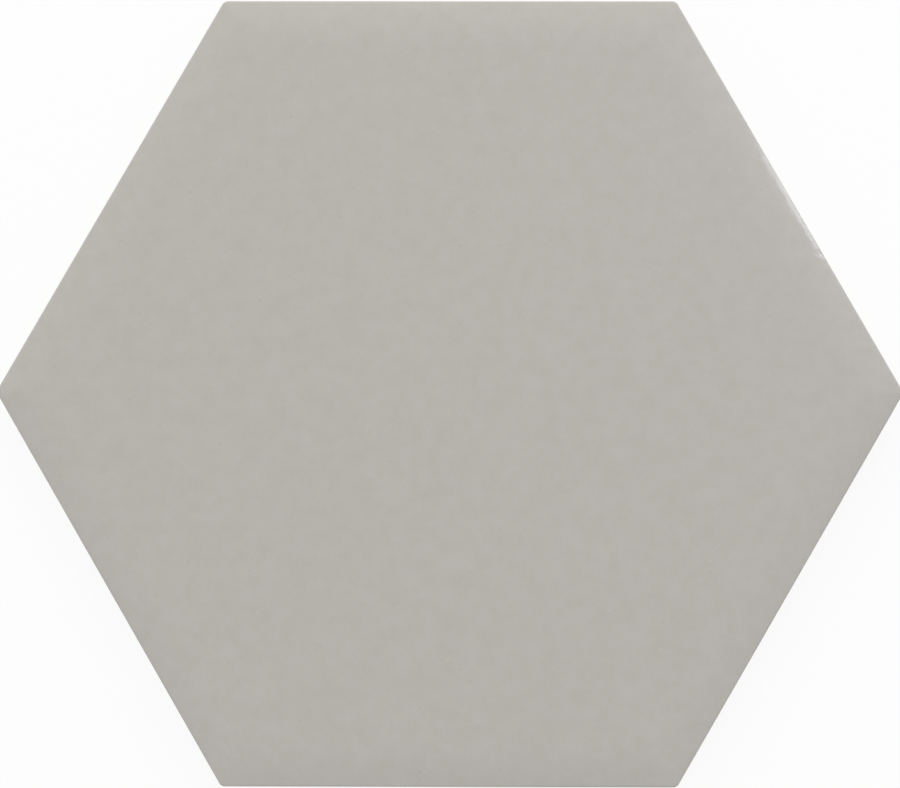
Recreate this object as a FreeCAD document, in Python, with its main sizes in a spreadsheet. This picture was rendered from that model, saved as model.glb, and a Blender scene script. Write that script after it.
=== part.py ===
"""Hexagon floor tile: one pressed, glazed and fired piece that lies with its glazed face up.

The centre of the underside is the origin. Two opposite points lie on the X axis, two opposite flats
face +Y and -Y, and +Z is up. Lengths are in millimetres and angles in degrees.
"""
import FreeCAD, Part
import math
import os

import Sketcher

NODE = "hexagon_tile"
FULL_TURN = 360.0
SIDES = 6
SIDE_ANGLE = FULL_TURN / SIDES
THIRDS = 3
TOLERANCE = 1e-4

# How a sketch numbers the places of an item, its own origin and its first axis
PLACES = ("whole", "start", "end", "centre")
ORIGIN = (-1, PLACES.index("start"))
FIRST_AXIS = -1

# Driving sizes: name, value and what it measures
SIZES = [
    ("across_points", 200.0, "sharp point to opposite sharp point, before the points are rounded"),
    ("thickness", 9.0, "underside to the flat middle of the face"),
    ("corner_radius", 1.5, "rounding of the six points, seen from above"),
    ("rim_radius", 0.6, "rounding between the face and the joint sides"),
    ("cushion_width", 10.0, "band along each side in which the face curves down"),
    ("cushion_fall", 0.8, "drop of the face across that band"),
    ("foot_chamfer", 1.0, "bevel around the underside"),
    ("key_pitch", 14.0, "centre to centre of the recesses in the underside"),
    ("key_rib", 2.5, "width of the rib between two recesses"),
    ("key_depth", 0.8, "depth of the recesses"),
    ("key_draft", 25.0, "lean of the recess walls, so that the pressed tile leaves its die"),
    ("key_margin", 6.0, "least plain margin between the recesses and the joint sides"),
]

# Sizes worked out from the driving ones. An equal-sided hexagon measures sqrt(3) / 2 of its
# point-to-point size across its flats. Each rounding's own centre lies on the line from the centre
# of the tile to its point, and as far from the centre of the tile as the straight side between two
# points is long. The rounding draws the point in.
HALF_FLATS = "Sizes.across_points * sqrt(3) / 4"
POINT_CENTRE = "Sizes.across_points / 2 - Sizes.corner_radius * 2 / sqrt(3)"
STRAIGHT_SIDE = POINT_CENTRE
POINT_LOSS = "Sizes.corner_radius * (1 - sqrt(3) / 2)"

# The cushion is an arc that leaves the face level
CUSHION_CURVE = "(Sizes.cushion_width ^ 2 + Sizes.cushion_fall ^ 2) / (2 * Sizes.cushion_fall)"
RIM_LEVEL = "Sizes.thickness - Sizes.cushion_fall"

# The honeycomb has as many rows of recesses outward as the face of the underside takes
RECESS_REACH = "(Sizes.key_pitch - Sizes.key_rib) / sqrt(3)"
RECESS_ROWS = (
    f"floor(({HALF_FLATS} - Sizes.key_margin - {RECESS_REACH}) / (Sizes.key_pitch * sqrt(3) / 2))"
)


def add_sizes(doc):
    """Write each driving size into a named cell of a sheet, with what it measures beside it."""
    sheet = doc.addObject("Spreadsheet::Sheet", "Sizes")
    for row, (name, value, meaning) in enumerate(SIZES, start=1):
        sheet.set(f"A{row}", meaning)
        sheet.set(f"B{row}", str(value))
        sheet.setAlias(f"B{row}", name)
    doc.recompute()


def now(body, expression):
    """What an expression of the driving sizes comes to."""
    return float(body.evalExpression(expression))


def origin_feature(body, role):
    """The body's own base plane or axis with this role."""
    return next(item for item in body.Origin.OriginFeatures if item.Role == role)


def add_sketch(body, name, plane):
    """An empty sketch on one of the body's base planes."""
    sketch = body.newObject("Sketcher::SketchObject", name)
    sketch.AttachmentSupport = (origin_feature(body, plane), [""])
    sketch.MapMode = "FlatFace"
    return sketch


def add_feature(body, kind, name, settings=None, expressions=None):
    """A feature of the body with its settings, its sizes bound to expressions, worked out."""
    feature = body.newObject(f"PartDesign::{kind}", name)
    for key, value in (settings or {}).items():
        setattr(feature, key, value)
    for key, expression in (expressions or {}).items():
        feature.setExpression(key, expression)
    body.Document.recompute()
    return feature


def at(item, place):
    """An item of a sketch and the number of one of its places."""
    return item, PLACES.index(place)


def join(sketch, one, other):
    """Join two places of a sketch."""
    sketch.addConstraint(Sketcher.Constraint("Coincident", *one, *other))


def drive(sketch, name, expression, kind, *places):
    """Add a dimension to a sketch, name it and bind it to an expression of the driving sizes."""
    index = sketch.addConstraint(Sketcher.Constraint(kind, *places, now(sketch, expression)))
    sketch.renameConstraint(index, name)
    sketch.setExpression(f"Constraints.{name}", expression)


def draw_hexagon(sketch, centre, reach, first_corner):
    """Draw an equal-sided hexagon whose corners lie on a helper circle of the radius reach.

    Its first corner is at the angle first_corner. Returns the circle and the six sides.
    """
    radius = now(sketch, reach)
    corners = []
    for step in range(SIDES):
        angle = math.radians(first_corner + step * SIDE_ANGLE)
        corners.append(centre + radius * FreeCAD.Vector(math.cos(angle), math.sin(angle), 0))
    circle = sketch.addGeometry(Part.Circle(centre, FreeCAD.Vector(0, 0, 1), radius), True)
    sides = []
    for start, end in zip(corners, corners[1:] + corners[:1]):
        sides.append(sketch.addGeometry(Part.LineSegment(start, end), False))
    for side, following in zip(sides, sides[1:] + sides[:1]):
        join(sketch, at(side, "end"), at(following, "start"))
        sketch.addConstraint(Sketcher.Constraint("PointOnObject", *at(side, "start"), circle))
    for side in sides[1:]:
        sketch.addConstraint(Sketcher.Constraint("Equal", sides[0], side))
    drive(sketch, "reach", reach, "Radius", circle)
    return circle, sides


def add_blank(body):
    """The pressed blank: a straight hexagonal prism with its six points rounded."""
    outline = add_sketch(body, "Outline", "XY_Plane")
    circle, sides = draw_hexagon(outline, FreeCAD.Vector(), "Sizes.across_points / 2", 0.0)
    join(outline, at(circle, "centre"), ORIGIN)
    outline.addConstraint(Sketcher.Constraint("Horizontal", sides[1]))

    blank = add_feature(body, "Pad", "Blank", {"Profile": outline}, {"Length": "Sizes.thickness"})
    points = {"Base": (blank, upright_edges(blank.Shape))}
    add_feature(body, "Fillet", "RoundedPoints", points, {"Radius": "Sizes.corner_radius"})


def draw_cushion(sketch, inner, outer):
    """Draw what the tile loses above its cushion, from the distance inner to the joint side at outer.

    The arc leaves the face level where the band starts and lies cushion_fall lower at the joint
    side. It runs past that side by the rim's radius, and three straight lines close the outline
    above the face.
    """
    level = f"{outer} - Sizes.cushion_width"
    end = f"{outer} + Sizes.rim_radius"
    sunk = f"Sizes.thickness - {CUSHION_CURVE}"
    lid = "Sizes.thickness + Sizes.cushion_fall"
    curve = now(sketch, CUSHION_CURVE)
    centre = FreeCAD.Vector(now(sketch, level), now(sketch, sunk), 0)
    angles, ends = [], []
    for reach in (end, inner):
        angle = math.acos((now(sketch, reach) - centre.x) / curve)
        angles.append(angle)
        ends.append(centre + curve * FreeCAD.Vector(math.cos(angle), math.sin(angle), 0))
    low, high = ends
    low_lid = FreeCAD.Vector(low.x, now(sketch, lid), 0)
    high_lid = FreeCAD.Vector(high.x, low_lid.y, 0)

    circle = Part.Circle(centre, FreeCAD.Vector(0, 0, 1), curve)
    arc = sketch.addGeometry(Part.ArcOfCircle(circle, *angles), False)
    rise = sketch.addGeometry(Part.LineSegment(low, low_lid), False)
    top = sketch.addGeometry(Part.LineSegment(low_lid, high_lid), False)
    drop = sketch.addGeometry(Part.LineSegment(high_lid, high), False)
    join(sketch, at(arc, "start"), at(rise, "start"))
    join(sketch, at(rise, "end"), at(top, "start"))
    join(sketch, at(top, "end"), at(drop, "start"))
    join(sketch, at(drop, "end"), at(arc, "end"))
    sketch.addConstraint(Sketcher.Constraint("Vertical", rise))
    sketch.addConstraint(Sketcher.Constraint("Horizontal", top))
    sketch.addConstraint(Sketcher.Constraint("Vertical", drop))
    drive(sketch, "curve", CUSHION_CURVE, "Radius", arc)
    drive(sketch, "level", level, "DistanceX", *ORIGIN, *at(arc, "centre"))
    drive(sketch, "sunk", sunk, "DistanceY", *ORIGIN, *at(arc, "centre"))
    drive(sketch, "inner", inner, "DistanceX", *ORIGIN, *at(arc, "end"))
    drive(sketch, "outer", end, "DistanceX", *ORIGIN, *at(arc, "start"))
    drive(sketch, "lid", lid, "DistanceY", *ORIGIN, *at(top, "start"))


def repeat_around(body, name, feature):
    """Repeat a feature on every side or point of the tile."""
    around = {"Originals": [feature], "Axis": (origin_feature(body, "Z_Axis"), [""]),
              "Angle": FULL_TURN, "Occurrences": SIDES}
    body.Tip = add_feature(body, "PolarPattern", name, around)
    body.Document.recompute()
    return body.Tip


def add_face(body):
    """The cushioned face with its round rim.

    Six curved bands run along the straight sides and meet in mitres. At each rounded point a sixth
    of a turn of the same section joins two bands, so that the rim runs on without a break.
    """
    band = add_sketch(body, "CushionBand", "YZ_Plane")
    draw_cushion(band, f"{HALF_FLATS} - Sizes.cushion_width", HALF_FLATS)
    cut = {"Profile": band, "SideType": "Symmetric"}
    cushion = add_feature(body, "Pocket", "Cushion", cut, {"Length": STRAIGHT_SIDE})
    repeat_around(body, "CushionRing", cushion)

    turn = add_sketch(body, "CushionTurn", "XZ_Plane")
    draw_cushion(turn, POINT_CENTRE, f"{POINT_CENTRE} + Sizes.corner_radius")
    body.Document.recompute()
    cut = {"Profile": turn, "ReferenceAxis": (turn, [innermost_upright(turn.Shape)]),
           "Midplane": True, "Angle": SIDE_ANGLE}
    corner = add_feature(body, "Groove", "CushionPoint", cut)
    ring = repeat_around(body, "CushionPoints", corner)

    lowest = now(body, RIM_LEVEL)
    rim = {"Base": (ring, outline_edges(body, ring.Shape, lowest, now(body, "Sizes.thickness")))}
    add_feature(body, "Fillet", "Rim", rim, {"Radius": "Sizes.rim_radius"})


def add_foot(body):
    """The bevel around the underside."""
    above = body.Tip
    foot = {"Base": (above, outline_edges(body, above.Shape, 0.0, 0.0))}
    add_feature(body, "Chamfer", "Foot", foot, {"Size": "Sizes.foot_chamfer"})


def add_key(body, outline):
    """The honeycomb that keys the underside to its adhesive, with its middle cell left plain.

    One recess beside the middle is repeated outward along X, and that row along the side that
    leaves the point on X. This fills a third of the field, and two turns about Z fill the rest.
    """
    cell = add_sketch(body, "RecessOutline", "XY_Plane")
    centre = FreeCAD.Vector(now(body, "Sizes.key_pitch"), 0, 0)
    circle, sides = draw_hexagon(cell, centre, RECESS_REACH, -SIDE_ANGLE / 2)
    cell.addConstraint(Sketcher.Constraint("PointOnObject", *at(circle, "centre"), FIRST_AXIS))
    cell.addConstraint(Sketcher.Constraint("Vertical", sides[0]))
    drive(cell, "pitch", "Sizes.key_pitch", "DistanceX", *ORIGIN, *at(circle, "centre"))
    depth = {"Length": "Sizes.key_depth", "TaperAngle": "-Sizes.key_draft"}
    recess = add_feature(body, "Pocket", "Recess", {"Profile": cell, "Reversed": True}, depth)

    field = add_feature(body, "MultiTransform", "RecessField", {"Originals": [recess]})
    outward = {"Direction": (origin_feature(body, "X_Axis"), [""]), "Mode": "Spacing"}
    oblique = {"Direction": (outline, [edge_along(outline.Shape, 2 * SIDE_ANGLE)]),
               "Mode": "Spacing"}
    row = {"Offset": "Sizes.key_pitch", "Occurrences": RECESS_ROWS}
    rows = {"Offset": "Sizes.key_pitch", "Occurrences": f"{RECESS_ROWS} + 1"}
    turns = {"Axis": (origin_feature(body, "Z_Axis"), [""]), "Angle": FULL_TURN,
             "Occurrences": THIRDS}
    field.Transformations = [
        add_feature(body, "LinearPattern", "Outward", outward, row),
        add_feature(body, "LinearPattern", "Oblique", oblique, rows),
        add_feature(body, "PolarPattern", "Thirds", turns),
    ]
    body.Tip = field
    body.Document.recompute()


def upright_edges(shape):
    """Names of the edges that stand parallel to Z."""
    names = []
    for number, edge in enumerate(shape.Edges, start=1):
        run = edge.Vertexes[-1].Point - edge.Vertexes[0].Point
        if math.hypot(run.x, run.y) < TOLERANCE:
            names.append(f"Edge{number}")
    return names


def innermost_upright(shape):
    """Name of the upright edge that stands nearest to the centre along X."""
    return min(upright_edges(shape), key=lambda name: shape.getElement(name).BoundBox.XMin)


def edge_along(shape, angle):
    """Name of the straight edge that runs nearest to a direction in the XY plane."""
    wanted = FreeCAD.Vector(math.cos(math.radians(angle)), math.sin(math.radians(angle)), 0)
    names = [f"Edge{number}" for number in range(1, len(shape.Edges) + 1)]
    return max(names, key=lambda name: wanted.dot(shape.getElement(name).Curve.Direction))


def side_reach(point):
    """Distance of a point from the centre, square to the flat that it is nearest to."""
    reaches = []
    for step in range(SIDES):
        angle = math.radians(SIDE_ANGLE * (step + 0.5))
        reaches.append(point.x * math.cos(angle) + point.y * math.sin(angle))
    return max(reaches)


def outline_edges(body, shape, lowest, highest):
    """Names of the edges that run around the tile between two heights.

    The middle of a rounded point is the part of the outline that lies nearest to the centre,
    measured square to a flat, so every point of these edges is at least that far out.
    """
    least_reach = now(body, f"{HALF_FLATS} - {POINT_LOSS}") - TOLERANCE
    names = []
    for number, edge in enumerate(shape.Edges, start=1):
        first, last = edge.ParameterRange
        points = [edge.valueAt(first), edge.valueAt((first + last) / 2), edge.valueAt(last)]
        heights = [point.z for point in points]
        level = lowest - TOLERANCE < min(heights) and max(heights) < highest + TOLERANCE
        if level and min(side_reach(point) for point in points) > least_reach:
            names.append(f"Edge{number}")
    return names


def check(doc, body):
    """Stop where a feature failed, cut nothing or left anything but one closed solid."""
    for item in doc.Objects:
        if "Invalid" in item.State or "Error" in item.State:
            raise RuntimeError(f"{item.Name} failed: {item.State}")
    steps = ["Blank", "RoundedPoints", "Cushion", "CushionRing", "CushionPoint", "CushionPoints",
             "Rim", "Foot", "Recess", "RecessField"]
    volumes = [doc.getObject(step).Shape.Volume for step in steps]
    for step, before, after in zip(steps[1:], volumes, volumes[1:]):
        if after > before - TOLERANCE:
            raise RuntimeError(f"{step} cut nothing")
    if body.Shape.isNull() or not body.Shape.isValid() or len(body.Shape.Solids) != 1:
        raise RuntimeError(f"{body.Label} is not one valid solid")


def build():
    """Build the tile, check it and write it."""
    doc = FreeCAD.newDocument("HexagonTile")
    add_sizes(doc)
    body = doc.addObject("PartDesign::Body", "Tile")
    body.Label = NODE
    body.Placement = FreeCAD.Placement()
    add_blank(body)
    add_face(body)
    add_foot(body)
    add_key(body, doc.getObject("Outline"))
    doc.recompute()
    check(doc, body)
    os.makedirs("parts", exist_ok=True)
    body.Shape.exportStep(f"parts/{NODE}.step")


build()
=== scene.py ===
"""Looks of the hexagon floor tile: glazed face and edges, bare body below, honeycomb key underneath.

The tile lies face up with the centre of its underside at the origin. Two opposite points lie on the
X axis and two opposite flats face +Y and -Y. Lengths are in millimetres and angles in radians until
a mesh, lamp or camera is written, which is in metres.
"""

import math

import bpy
import numpy as np
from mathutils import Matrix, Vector, geometry


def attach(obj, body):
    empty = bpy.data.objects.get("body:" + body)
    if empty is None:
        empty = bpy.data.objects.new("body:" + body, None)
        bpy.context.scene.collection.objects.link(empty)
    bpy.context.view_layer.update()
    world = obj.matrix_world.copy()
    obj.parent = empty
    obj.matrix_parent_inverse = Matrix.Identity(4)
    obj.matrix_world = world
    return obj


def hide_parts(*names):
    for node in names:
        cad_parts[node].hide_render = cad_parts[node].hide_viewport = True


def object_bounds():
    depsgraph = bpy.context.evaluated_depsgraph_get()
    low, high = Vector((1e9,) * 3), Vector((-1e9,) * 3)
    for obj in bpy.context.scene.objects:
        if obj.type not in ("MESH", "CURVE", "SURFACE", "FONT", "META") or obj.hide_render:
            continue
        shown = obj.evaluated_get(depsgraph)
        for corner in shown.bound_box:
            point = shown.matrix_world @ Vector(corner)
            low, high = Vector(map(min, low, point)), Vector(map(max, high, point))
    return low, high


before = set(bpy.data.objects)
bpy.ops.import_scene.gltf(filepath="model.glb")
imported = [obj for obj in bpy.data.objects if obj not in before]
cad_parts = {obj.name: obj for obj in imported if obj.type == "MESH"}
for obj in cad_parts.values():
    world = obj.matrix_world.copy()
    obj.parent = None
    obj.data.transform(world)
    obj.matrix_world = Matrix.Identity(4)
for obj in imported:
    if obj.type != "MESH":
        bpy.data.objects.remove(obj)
solid_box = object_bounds()

MM = 0.001
SIDES = 6
SIXTH = 2 * math.pi / SIDES
COS30 = math.cos(SIXTH / 2)

# Sizes of the tile. The flats and the thickness come from the frame, and the rest are the solid's own.
# The face's skin is drawn just inside the solid's flats.
SKIN = 0.005
HALF_FLATS = solid_box[1][1] / MM - SKIN
THICKNESS = solid_box[1][2] / MM
CORNER_RADIUS = 1.5
RIM_RADIUS = 0.6
CUSHION_WIDTH = 10.0
CUSHION_FALL = 0.8
FOOT_BEVEL = 1.0

# The honeycomb key in the underside, and how far its edges are eased by the press
KEY_PITCH = 14.0
KEY_RIB = 2.5
KEY_DEPTH = 0.8
KEY_DRAFT = math.radians(25.0)
KEY_ROWS = 6
KEY_MOUTH = (KEY_PITCH - KEY_RIB) / 2
KEY_ROUNDING = 0.8
WALL_EASE = 0.1
MOUTH_EASE = 0.12
BED_EASE = 0.2

# Slow waves in the fired face, and the soft turn of the cushion where two side bands meet
RIPPLE = 0.012
RIPPLE_LENGTHS = (18.0, 70.0)
RIPPLE_WAVES = 14
MITRE_SOFTENING = 0.45
LEAST_ROUNDING = 0.3

# The glaze on the side: it ends at a height that wavers, with these numbers of waves around the tile.
# Each wave's height is drawn between the least and the least plus the spread, and then shared out.
GLAZE_LINE = 5.9
GLAZE_WAVER = 0.45
GLAZE_WAVES = (5, 9, 14, 23, 31, 43)
LEAST_WAVE, WAVE_SPREAD = 0.6, 0.8
GLAZE_THINNING = 0.02
BODY_INSET = 0.2
# Rows of the side. On the run of the glaze: share of the way down and of the thinning. At its end:
# height above the line and inset. On the body: share of the way down. At the foot: inset and height.
RUN_ROWS = ((0.25, 0.0), (0.5, 0.3), (0.75, 0.6), (1.0, 1.0))
END_ROWS = ((0.25, 0.03), (0.1, 0.08), (0.02, 0.15), (-0.04, BODY_INSET))
BODY_ROWS = (0.15, 0.35, 0.6, 0.85, 1.0)
FOOT_ROWS = ((0.21, 0.93), (0.26, 0.78), (0.36, 0.65), (0.6, 0.4), (0.88, 0.13), (1.0, 0.035),
             (1.15, 0.0), (1.6, 0.0))

# Steps of the meshes
POINT_STEPS, SIDE_STEPS = 10, 54
CUSHION_ROWS, RIM_ROWS = 16, 12
MIDDLE_PITCH, MIDDLE_MARGIN = 3.0, 4.0

# How a flat region is triangulated: only inside its loops, and points this near each other are joined
INSIDE_LOOPS = 1
JOINING_DISTANCE = 1e-7

# Places of the two finishes among the tile's materials
GLAZED, BARE = 0, 1

# Patterns of the glaze: how far apart their features are, and how deep their relief is. A dot whose
# random number is below the first share is a dark pinhole, and above the second it is a pale seed.
CLOUD_LENGTH = 4.0
DOTS_APART, DOT_CORE, DOT_RADIUS = 2.2, 0.05, 0.57
PINHOLES_BELOW, SEEDS_ABOVE = 0.42, 0.68
PINHOLE_DEPTH = 0.014
PEEL_LENGTH, PEEL_DEPTH = 1.6, 0.015
SWELL_LENGTH, SWELL_DEPTH = 4.0, 0.025
# At the rim the glaze is pulled into uneven runs, which fade out towards the face
RUN_LENGTH, RUN_DEPTH = 1.5, 0.018
RUN_LOWEST = THICKNESS - CUSHION_FALL - 0.4
RUN_HIGHEST = THICKNESS - CUSHION_FALL + 0.5

# Patterns of the bare body. The glaze mist and the kiln wash fade between heights, and the wash also
# between two levels of the patches.
CLAY_LENGTH, PATCH_LENGTH = 9.0, 6.0
SPECKS_APART, SPECK_CORE, SPECK_RADIUS = 2.4, 0.06, 0.3
SPECKS_BELOW = 0.4
GRAIN_LENGTH, GRAIN_DEPTH = 1.0, 0.15
MIST_LOWEST, MIST_HIGHEST = 4.0, 6.0
WASH_LOWEST, WASH_HIGHEST = 0.1, 0.25
WASH_THIN, WASH_THICK = 0.42, 0.62

# The floor: how far it reaches, its gap to the tile's foot, and how white it shows of itself, from
# this share near the tile up to all of it between the two distances from the middle
FLOOR_REACH = 4000.0
FLOOR_GAP = 0.3
FLOOR_WHITE = 0.88
WHITER_FROM, WHITEST_FROM = 200.0, 1000.0

rng = np.random.default_rng(20)


def unit(angle):
    """Unit vectors at these angles in the XY plane."""
    return np.stack([np.cos(angle), np.sin(angle)], axis=-1)


def hexagon_columns(point_steps, side_steps, first_point):
    """The columns of a rounded hexagon's grid, once around, as two sets of plane vectors.

    Around a point the outward normal turns by a sixth of a turn while the rounding's centre stays
    on the line to that point. Along a side the normal stays while the centre moves evenly on to
    the line of the next point.
    """
    turned = np.concatenate([np.arange(point_steps) / point_steps, np.ones(side_steps)])
    moved = np.concatenate([np.zeros(point_steps), np.arange(side_steps) / side_steps])
    point = first_point + SIXTH * np.repeat(np.arange(SIDES), point_steps + side_steps)
    here, following = unit(point), unit(point + SIXTH)
    centres = here + np.tile(moved, SIDES)[:, None] * (following - here)
    normals = unit(point + SIXTH * (np.tile(turned, SIDES) - 0.5))
    return centres, normals


def rounded_hexagon(apothem, radius, columns):
    """Plane points of rounded hexagons: the columns' centres scaled to the rounding's centre, plus
    the rounding's radius along the normals. Apothem and radius are one number or one per point."""
    centres, normals = columns
    reach = (np.asarray(apothem) - radius) / COS30
    return reach[..., None] * centres + np.asarray(radius)[..., None] * normals


def numbered(grid, first=0):
    """The vertex numbers of a grid of points, counted on from the first."""
    return first + np.arange(grid.size // grid.shape[-1]).reshape(grid.shape[:-1])


def bands(index):
    """Quads between the rows of closed grids of vertex numbers, shaped (..., rows, columns)."""
    following = np.roll(index, -1, axis=-1)
    corners = [index[..., :-1, :], index[..., 1:, :], following[..., 1:, :], following[..., :-1, :]]
    return np.stack(corners, axis=-1).reshape(-1, 4)


def fill(points, loops, loose=()):
    """Triangles of a flat region between closed loops of vertex numbers, through loose vertices."""
    used = np.concatenate([np.ravel(loop) for loop in loops] + [np.asarray(loose, int)])
    edges, start = [], 0
    for loop in loops:
        ring = start + np.arange(len(loop))
        edges.append(np.stack([ring, np.roll(ring, -1)], axis=1))
        start += len(loop)
    plane = [Vector(point) for point in points[used, :2].tolist()]
    _, _, faces, origin, _, _ = geometry.delaunay_2d_cdt(
        plane, np.concatenate(edges).tolist(), [], INSIDE_LOOPS, JOINING_DISTANCE)
    return used[np.array([sources[0] for sources in origin])[np.array(faces)]]


def ripple(points):
    """Slow waves of the fired glaze: a sum of sines across the plane, their lengths spread evenly on
    a log scale and each as high as its length asks for equal slopes. Between -1 and 1."""
    low, high = RIPPLE_LENGTHS
    lengths = low * (high / low) ** rng.random(RIPPLE_WAVES)
    ways = unit(2 * math.pi * rng.random(RIPPLE_WAVES))
    phases = 2 * math.pi * rng.random(RIPPLE_WAVES)
    waves = np.sin(2 * math.pi * (points @ ways.T) / lengths + phases)
    return waves @ lengths / lengths.sum()


def around(share, waves):
    """A closed wavy line around the tile: a sum of sines with whole numbers of waves along the share
    of the way around. Between -1 and 1."""
    phases = 2 * math.pi * rng.random(len(waves))
    heights = LEAST_WAVE + WAVE_SPREAD * rng.random(len(waves))
    return np.sin(2 * math.pi * np.outer(share, waves) + phases) @ heights / heights.sum()


def face_section():
    """Inset and height of the face's rows, from the flat middle out to the side.

    The cushion is an arc that leaves the face level and falls by the cushion's fall at the side.
    The rim is a quarter round that touches that arc and the upright side.
    """
    curve = (CUSHION_WIDTH ** 2 + CUSHION_FALL ** 2) / (2 * CUSHION_FALL)
    deep = THICKNESS - curve
    run = CUSHION_WIDTH - RIM_RADIUS
    rim_height = deep + math.sqrt((curve - RIM_RADIUS) ** 2 - run ** 2)
    touch = math.atan2(rim_height - deep, run)
    along = np.linspace(math.pi / 2, touch, CUSHION_ROWS)
    turn = np.linspace(touch, 0.0, RIM_ROWS)[1:]
    inset = np.concatenate([CUSHION_WIDTH - curve * np.cos(along), RIM_RADIUS * (1 - np.cos(turn))])
    height = np.concatenate([deep + curve * np.sin(along), rim_height + RIM_RADIUS * np.sin(turn)])
    return inset, height


def side_section(share, rim_height):
    """Inset and height of the rows down the side, one value per row and column.

    The glaze runs down the side to a wavy line, where it ends in a soft step on to the bare body.
    The body goes straight down to the bevel of the foot, whose two edges are slightly rounded.
    """
    line = GLAZE_LINE + GLAZE_WAVER * around(share, GLAZE_WAVES)
    thin = GLAZE_THINNING * (1 + around(share, GLAZE_WAVES))
    level = np.ones_like(line)
    run_end, body_top = line + GLAZE_WAVER, line + END_ROWS[-1][0]
    body_foot = FOOT_ROWS[0][1] + WALL_EASE
    rows = [(thin * faded, rim_height + (run_end - rim_height) * down) for down, faded in RUN_ROWS]
    rows += [(np.maximum(thin, inset), line + rise) for rise, inset in END_ROWS]
    rows += [(BODY_INSET * level, body_top + (body_foot - body_top) * down) for down in BODY_ROWS]
    rows += [(inset * level, height * level) for inset, height in FOOT_ROWS]
    return np.array([inset for inset, _ in rows]), np.array([height for _, height in rows])


def make_rings():
    """The outside of the tile as rings of rounded hexagons, one for each row of its section, with
    the number of rows on the face and each point's inset.

    Inwards from the rim the roundings grow, so that the side bands of the cushion meet in soft turns.
    """
    columns = hexagon_columns(POINT_STEPS, SIDE_STEPS, first_point=0.0)
    outline = rounded_hexagon(HALF_FLATS, CORNER_RADIUS, columns)
    steps = np.linalg.norm(np.roll(outline, -1, axis=0) - outline, axis=1)
    share = (np.cumsum(steps) - steps) / steps.sum()

    face_inset, face_height = face_section()
    side_inset, side_height = side_section(share, face_height[-1])
    face_rows, everywhere = len(face_inset), np.ones(len(share))
    inset = np.concatenate([np.outer(face_inset, everywhere), side_inset])
    height = np.concatenate([np.outer(face_height, everywhere), side_height])
    rounding = np.maximum(CORNER_RADIUS - inset, LEAST_ROUNDING)
    rounding[:face_rows] = np.hypot(rounding[:face_rows], MITRE_SOFTENING * inset[:face_rows])
    plan = rounded_hexagon(HALF_FLATS - inset, rounding, columns)
    return np.concatenate([plan, height[..., None]], axis=-1), face_rows, inset


def lattice(pitch, reach):
    """Points of a triangular lattice inside a hexagon of this point-to-centre reach."""
    count = int(reach / pitch)
    one, other = np.meshgrid(np.arange(-count, count + 1), np.arange(-count, count + 1))
    inside = np.abs(one + other) <= count
    one, other = one[inside], other[inside]
    return pitch * np.stack([one + other / 2, other * COS30], axis=1)


def make_recesses():
    """The recesses of the key on a triangular lattice, without the one in the middle: their centres,
    and their rings shaped (recesses, rows, columns, 3).

    The wall leans in by the draft, and its rounding shrinks half as fast. Its ring at the mouth is
    moved out and its ring on the bed is moved in, which eases both edges.
    """
    centres = lattice(KEY_PITCH, KEY_ROWS * KEY_PITCH + KEY_PITCH / 2)
    centres = centres[np.linalg.norm(centres, axis=1) > KEY_PITCH / 2]
    height = np.array([0.0, WALL_EASE, KEY_DEPTH - WALL_EASE, KEY_DEPTH])
    inset = height * math.tan(KEY_DRAFT) + [-MOUTH_EASE, 0.0, 0.0, BED_EASE]
    columns = hexagon_columns(point_steps=2, side_steps=1, first_point=SIXTH / 2)
    plan = rounded_hexagon((KEY_MOUTH - inset)[:, None], (KEY_ROUNDING - inset / 2)[:, None], columns)
    recesses = np.empty((len(centres), *plan.shape[:2], 3))
    recesses[..., :2] = centres[:, None, None, :] + plan
    recesses[..., 2] = height[:, None]
    return centres, recesses


def fill_underside(points, foot, mouths, centres):
    """Triangles of the ribs: the flat between the foot's ring and the recesses' mouths, facing down.

    A triangle belongs to the ribs when its middle lies outside every recess's hexagon.
    """
    triangles = fill(points, [foot, *mouths])
    spots = points[triangles, :2].mean(axis=1)[:, None] - centres
    reach = np.abs(spots @ unit(SIXTH * np.arange(SIDES)).T).max(axis=2).min(axis=1)
    return triangles[reach > KEY_MOUTH + MOUTH_EASE][:, ::-1]


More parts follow.
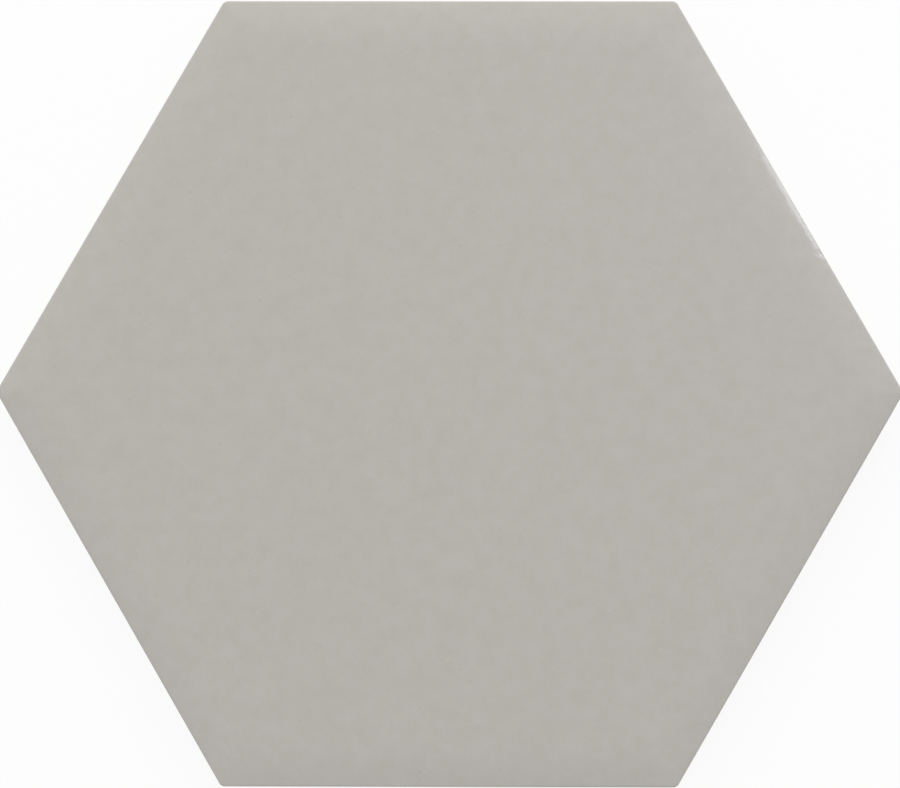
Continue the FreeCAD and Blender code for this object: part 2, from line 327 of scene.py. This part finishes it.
def make_tile():
    """The whole tile as one closed mesh.

    The rings carry the section of cushion, rim, side and foot around the tile. A lattice fills the
    flat middle of the face. The underside is flat between the foot and the recesses, and each
    recess is a few rings and a bed. The ripple lowers the face only, and fades out at the rim.
    """
    rings, face_rows, inset = make_rings()
    middle = lattice(MIDDLE_PITCH, (HALF_FLATS - CUSHION_WIDTH) / COS30 - MIDDLE_MARGIN)
    middle = np.column_stack([middle, np.full(len(middle), THICKNESS)])
    centres, recesses = make_recesses()
    points = np.concatenate([rings.reshape(-1, 3), middle, recesses.reshape(-1, 3)])
    ring_index = numbered(rings)
    middle_index = numbered(middle, ring_index.size)
    recess_index = numbered(recesses, ring_index.size + middle_index.size)

    top = fill(points, [ring_index[0]], middle_index)
    quads = np.concatenate([bands(ring_index), bands(recess_index)])
    bottom = fill_underside(points, ring_index[-1], recess_index[:, 0], centres)
    beds = recess_index[:, -1, ::-1]
    faces = top.tolist() + quads.tolist() + bottom.tolist() + beds.tolist()

    lowered = np.zeros(len(points))
    lowered[middle_index] = RIPPLE
    lowered[ring_index[:face_rows]] = RIPPLE * np.clip(inset[:face_rows] / CUSHION_WIDTH, 0, 1) ** 2
    points[:, 2] -= lowered * (1 - ripple(points[:, :2]))

    glazed_bands = face_rows + len(RUN_ROWS) + len(END_ROWS) - 1
    finish = np.full(len(faces), BARE, np.int32)
    finish[:len(top) + glazed_bands * ring_index.shape[1]] = GLAZED
    rounded = np.arange(len(faces)) < len(top) + len(quads)

    mesh = bpy.data.meshes.new("glazed_tile")
    mesh.from_pydata((points * MM).tolist(), [], faces)
    mesh.polygons.foreach_set("material_index", finish)
    mesh.polygons.foreach_set("use_smooth", rounded)
    mesh.update()
    tile = bpy.data.objects.new("glazed_tile", mesh)
    bpy.context.scene.collection.objects.link(tile)
    return tile


def colour(code):
    """An sRGB hex code as linear red, green, blue and full opacity."""
    part = np.array([int(code[place:place + 2], 16) for place in (1, 3, 5)]) / 255
    linear = np.where(part <= 0.04045, part / 12.92, ((part + 0.055) / 1.055) ** 2.4)
    return (*linear.tolist(), 1.0)


def node(tree, kind, inputs=None, **settings):
    """Add a node. An input is set to a value, or linked where it is another node's output."""
    added = tree.nodes.new(kind)
    for key, value in settings.items():
        setattr(added, key, value)
    for key, value in (inputs or {}).items():
        if isinstance(value, bpy.types.NodeSocket):
            tree.links.new(value, added.inputs[key])
        else:
            added.inputs[key].default_value = value
    return added


def new_material(name):
    """A material with an empty node tree and its output."""
    material = bpy.data.materials.new(name)
    material.use_nodes = True
    material.node_tree.nodes.clear()
    return material, material.node_tree, material.node_tree.nodes.new("ShaderNodeOutputMaterial")


def per_metre(millimetres):
    """Scale of a pattern whose features are this far apart."""
    return 1.0 / (millimetres * MM)


def dots(tree, place, apart, core, radius):
    """Soft round dots on a random pattern: their profile, falling from 1 at the core to 0 at the
    radius, and one random number for each dot. Lengths are in millimetres."""
    cells = node(tree, "ShaderNodeTexVoronoi", {"Vector": place, "Scale": per_metre(apart)})
    profile = node(tree, "ShaderNodeMapRange", {
        "Value": cells.outputs["Distance"], "From Min": core / apart, "From Max": radius / apart,
        "To Min": 1.0, "To Max": 0.0}, interpolation_type="SMOOTHSTEP")
    lot = node(tree, "ShaderNodeSeparateColor", {"Color": cells.outputs["Color"]})
    return profile.outputs["Result"], lot.outputs["Red"]


def glaze_shade(tree, place):
    """Colour of the glaze, and its pinholes from 0 to 1. It is clouded where it lies thicker, and
    dark pinholes and pale seeds, under a millimetre wide, dot it faintly."""
    clouds = node(tree, "ShaderNodeTexNoise", {
        "Vector": place, "Scale": per_metre(CLOUD_LENGTH), "Detail": 4.0, "Roughness": 0.8})
    shade = node(tree, "ShaderNodeMix", {
        "Factor": clouds.outputs["Fac"], "A": colour("#AFABA4"), "B": colour("#BEBAB4")},
        data_type="RGBA")
    dot, lot = dots(tree, place, apart=DOTS_APART, core=DOT_CORE, radius=DOT_RADIUS)
    dark = node(tree, "ShaderNodeMapRange", {
        "Value": lot, "From Max": PINHOLES_BELOW, "To Min": 1.0, "To Max": 0.0})
    pale = node(tree, "ShaderNodeMapRange", {"Value": lot, "From Min": SEEDS_ABOVE})
    pinhole = node(tree, "ShaderNodeMath", {0: dot, 1: dark.outputs["Result"]}, operation="MULTIPLY")
    seed = node(tree, "ShaderNodeMath", {0: dot, 1: pale.outputs["Result"]}, operation="MULTIPLY")
    pitted = node(tree, "ShaderNodeMix", {
        "Factor": pinhole.outputs["Value"], "A": shade.outputs["Result"], "B": colour("#B1ADA6")},
        data_type="RGBA")
    seeded = node(tree, "ShaderNodeMix", {
        "Factor": seed.outputs["Value"], "A": pitted.outputs["Result"], "B": colour("#BCB8B2")},
        data_type="RGBA")
    return seeded.outputs["Result"], pinhole.outputs["Value"]


def glaze_relief(tree, place, pinhole):
    """Relief of the glaze, as a normal: the orange peel of the spray, a slower swell, the uneven
    runs over the rim and the sunk pinholes."""
    peel = node(tree, "ShaderNodeTexNoise", {
        "Vector": place, "Scale": per_metre(PEEL_LENGTH), "Detail": 0.0})
    swell = node(tree, "ShaderNodeTexNoise", {
        "Vector": place, "Scale": per_metre(SWELL_LENGTH), "Detail": 1.0})
    runs = node(tree, "ShaderNodeTexNoise", {
        "Vector": place, "Scale": per_metre(RUN_LENGTH), "Detail": 1.0})
    height = node(tree, "ShaderNodeSeparateXYZ", {"Vector": place}).outputs["Z"]
    at_rim = node(tree, "ShaderNodeMapRange", {
        "Value": height, "From Min": RUN_LOWEST * MM, "From Max": RUN_HIGHEST * MM,
        "To Min": 1.0, "To Max": 0.0}, interpolation_type="SMOOTHSTEP")
    pulled = node(tree, "ShaderNodeMath", {0: runs.outputs["Fac"], 1: at_rim.outputs["Result"]},
                  operation="MULTIPLY")
    relief = {}
    for pattern, depth, sunk in ((peel.outputs["Fac"], PEEL_DEPTH, False),
                                 (swell.outputs["Fac"], SWELL_DEPTH, False),
                                 (pulled.outputs["Value"], RUN_DEPTH, False),
                                 (pinhole, PINHOLE_DEPTH, True)):
        bump = node(tree, "ShaderNodeBump", {
            "Strength": 1.0, "Distance": depth * MM, "Height": pattern, **relief}, invert=sunk)
        relief = {"Normal": bump.outputs["Normal"]}
    return relief["Normal"]


def satin_glaze():
    """Opaque satin glaze, sprayed on and fired: an even warm grey with a broad soft sheen under a
    thin clear gloss. Its fine relief breaks up the highlight on the rim."""
    material, tree, output = new_material("satin_glaze")
    place = node(tree, "ShaderNodeTexCoord").outputs["Object"]
    shade, pinhole = glaze_shade(tree, place)
    relief = glaze_relief(tree, place, pinhole)
    glaze = node(tree, "ShaderNodeBsdfPrincipled", {
        "Base Color": shade, "Roughness": 0.46, "IOR": 1.5, "Coat Weight": 0.4,
        "Coat Roughness": 0.09, "Coat IOR": 1.5, "Normal": relief, "Coat Normal": relief})
    tree.links.new(glaze.outputs["BSDF"], output.inputs["Surface"])
    return material


def body_shade(tree, place):
    """Colour of the bare body: clouded clay with a few dark specks of iron, a mist of glaze below
    the glaze line, and kiln wash on the ribs that stood on the rollers."""
    height = node(tree, "ShaderNodeSeparateXYZ", {"Vector": place}).outputs["Z"]
    clouds = node(tree, "ShaderNodeTexNoise", {
        "Vector": place, "Scale": per_metre(CLAY_LENGTH), "Detail": 4.0})
    patches = node(tree, "ShaderNodeTexNoise", {
        "Vector": place, "Scale": per_metre(PATCH_LENGTH), "Detail": 5.0})
    clay = node(tree, "ShaderNodeMix", {
        "Factor": clouds.outputs["Fac"], "A": colour("#BDB5A8"), "B": colour("#CFC8BC")},
        data_type="RGBA")
    dot, lot = dots(tree, place, apart=SPECKS_APART, core=SPECK_CORE, radius=SPECK_RADIUS)
    few = node(tree, "ShaderNodeMapRange", {
        "Value": lot, "From Max": SPECKS_BELOW, "To Min": 0.8, "To Max": 0.0})
    iron = node(tree, "ShaderNodeMath", {0: dot, 1: few.outputs["Result"]}, operation="MULTIPLY")
    speckled = node(tree, "ShaderNodeMix", {
        "Factor": iron.outputs["Value"], "A": clay.outputs["Result"], "B": colour("#8E8475")},
        data_type="RGBA")
    near = node(tree, "ShaderNodeMapRange", {
        "Value": height, "From Min": MIST_LOWEST * MM, "From Max": MIST_HIGHEST * MM,
        "To Max": 0.9}, interpolation_type="SMOOTHSTEP")
    mist = node(tree, "ShaderNodeMath", {0: near.outputs["Result"], 1: patches.outputs["Fac"]},
                operation="MULTIPLY")
    sprayed = node(tree, "ShaderNodeMix", {
        "Factor": mist.outputs["Value"], "A": speckled.outputs["Result"], "B": colour("#B3ADA4")},
        data_type="RGBA")
    low = node(tree, "ShaderNodeMapRange", {
        "Value": height, "From Min": WASH_LOWEST * MM, "From Max": WASH_HIGHEST * MM,
        "To Min": 1.0, "To Max": 0.0})
    dusted = node(tree, "ShaderNodeMapRange", {
        "Value": patches.outputs["Fac"], "From Min": WASH_THIN, "From Max": WASH_THICK,
        "To Max": 0.7})
    wash = node(tree, "ShaderNodeMath", {0: low.outputs["Result"], 1: dusted.outputs["Result"]},
                operation="MULTIPLY")
    washed = node(tree, "ShaderNodeMix", {
        "Factor": wash.outputs["Value"], "A": sprayed.outputs["Result"], "B": colour("#E2E0DB")},
        data_type="RGBA")
    return washed.outputs["Result"]


def fired_body():
    """Dust-pressed stoneware body, fired bare: matt, off-white and finely granular."""
    material, tree, output = new_material("fired_body")
    place = node(tree, "ShaderNodeTexCoord").outputs["Object"]
    grains = node(tree, "ShaderNodeTexNoise", {
        "Vector": place, "Scale": per_metre(GRAIN_LENGTH), "Detail": 4.0, "Roughness": 0.7})
    relief = node(tree, "ShaderNodeBump", {
        "Strength": 1.0, "Distance": GRAIN_DEPTH * MM, "Height": grains.outputs["Fac"]})
    body = node(tree, "ShaderNodeBsdfPrincipled", {
        "Base Color": body_shade(tree, place), "Roughness": 0.85, "IOR": 1.5,
        "Normal": relief.outputs["Normal"]})
    tree.links.new(body.outputs["BSDF"], output.inputs["Surface"])
    return material


def shows_white(tree):
    """1 for the rays that see the background as white: from the camera, from gloss and through glass."""
    ray = node(tree, "ShaderNodeLightPath")
    open_or_glossy = node(tree, "ShaderNodeMath", {
        0: ray.outputs["Is Camera Ray"], 1: ray.outputs["Is Glossy Ray"]}, operation="MAXIMUM")
    seen = node(tree, "ShaderNodeMath", {
        0: open_or_glossy.outputs["Value"], 1: ray.outputs["Is Transmission Ray"]},
        operation="MAXIMUM")
    return seen.outputs["Value"]


def white_floor():
    """Matt white floor. The camera and reflections see mostly its own even white, all of it a metre
    away from the tile, and the rest is left to the shadow. From below it isn't there, so that the
    underside shows."""
    material, tree, output = new_material("white_floor")
    place = node(tree, "ShaderNodeTexCoord").outputs["Object"]
    away = node(tree, "ShaderNodeVectorMath", {0: place}, operation="LENGTH")
    even = node(tree, "ShaderNodeMapRange", {
        "Value": away.outputs["Value"], "From Min": WHITER_FROM * MM, "From Max": WHITEST_FROM * MM,
        "To Min": FLOOR_WHITE}, interpolation_type="SMOOTHSTEP")
    share = node(tree, "ShaderNodeMath", {0: shows_white(tree), 1: even.outputs["Result"]},
                 operation="MULTIPLY")
    matt = node(tree, "ShaderNodeBsdfDiffuse", {"Color": colour("#FAFAFA")})
    glow = node(tree, "ShaderNodeEmission", {"Color": colour("#FFFFFF"), "Strength": 1.0})
    mixed = node(tree, "ShaderNodeMixShader", {
        0: share.outputs["Value"], 1: matt.outputs["BSDF"], 2: glow.outputs["Emission"]})
    below = node(tree, "ShaderNodeNewGeometry").outputs["Backfacing"]
    nothing = node(tree, "ShaderNodeBsdfTransparent")
    open_below = node(tree, "ShaderNodeMixShader", {
        0: below, 1: mixed.outputs["Shader"], 2: nothing.outputs["BSDF"]})
    tree.links.new(open_below.outputs["Shader"], output.inputs["Surface"])
    return material


def make_floor():
    """A level white floor that the tile stands on, open under it: one ring of quads from just inside
    the tile's foot out to a far hexagon."""
    columns = hexagon_columns(point_steps=1, side_steps=1, first_point=0.0)
    apothem = np.array([HALF_FLATS - FOOT_BEVEL - FLOOR_GAP, FLOOR_REACH])[:, None]
    plan = rounded_hexagon(apothem, np.full_like(apothem, LEAST_ROUNDING), columns)
    points = np.concatenate([plan, np.zeros((*plan.shape[:2], 1))], axis=-1)
    mesh = bpy.data.meshes.new("floor")
    mesh.from_pydata((points.reshape(-1, 3) * MM).tolist(), [], bands(numbered(points)).tolist())
    mesh.materials.append(white_floor())
    floor = bpy.data.objects.new("floor", mesh)
    bpy.context.scene.collection.objects.link(floor)


def lamp(name, azimuth, elevation, distance, size, power, tint="#FFFFFF", lights=True, mirrored=True):
    """A soft oblong lamp that faces the middle of the tile. Azimuth counts from +X towards +Y.

    It lights matt colour, shows as a highlight in gloss, or does both. Degrees, metres and watts.
    """
    data = bpy.data.lights.new(name, "AREA")
    data.shape = "RECTANGLE"
    data.size, data.size_y = size
    data.energy = power
    data.color = colour(tint)[:3]
    light = bpy.data.objects.new(name, data)
    level, height = math.cos(math.radians(elevation)), math.sin(math.radians(elevation))
    turn = math.radians(azimuth)
    light.location = distance * Vector((level * math.cos(turn), level * math.sin(turn), height))
    light.rotation_euler = light.location.to_track_quat("Z", "Y").to_euler()
    light.visible_camera = False
    light.visible_diffuse = lights
    light.visible_glossy = mirrored
    bpy.context.scene.collection.objects.link(light)


def make_world(strength):
    """Even studio light all round, seen as white behind the floor's edge and in reflections."""
    world = bpy.data.worlds.new("studio")
    world.use_nodes = True
    tree = world.node_tree
    tree.nodes.clear()
    level = node(tree, "ShaderNodeMapRange", {
        "Value": shows_white(tree), "To Min": strength, "To Max": 1.0})
    glow = node(tree, "ShaderNodeBackground", {
        "Color": colour("#FFFFFF"), "Strength": level.outputs["Result"]})
    output = node(tree, "ShaderNodeOutputWorld")
    tree.links.new(glow.outputs["Background"], output.inputs["Surface"])
    bpy.context.scene.world = world


def make_camera(lens, place, turns):
    """Straight above the tile, tipped a little so that the lower edge looks slightly longer.

    The lens and the place are in millimetres, and the turns about X, Y and Z in degrees.
    """
    data = bpy.data.cameras.new("camera")
    data.lens = lens
    camera = bpy.data.objects.new("camera", data)
    camera.location = Vector(place) * MM
    camera.rotation_euler = [math.radians(turn) for turn in turns]
    bpy.context.scene.collection.objects.link(camera)
    bpy.context.scene.camera = camera


make_camera(lens=60.0, place=(1.38, -6.23, 338.28), turns=(1.014, 0.216, 0.079))

tile = make_tile()
for material in (satin_glaze(), fired_body()):
    tile.data.materials.append(material)
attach(tile, "root")
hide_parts("hexagon_tile")

make_floor()
make_world(strength=0.6)
lamp("key", azimuth=94.0, elevation=36.0, distance=2.1, size=(2.7, 1.8), power=33.2, mirrored=False)
lamp("strip", azimuth=31.0, elevation=34.6, distance=1.076, size=(0.1, 0.818), power=3.25,
     tint="#E6EEFF", lights=False)
lamp("under", azimuth=60.0, elevation=-50.0, distance=2.0, size=(1.0, 1.0), power=20.0)
bpy.context.scene.view_settings.view_transform = "Standard"
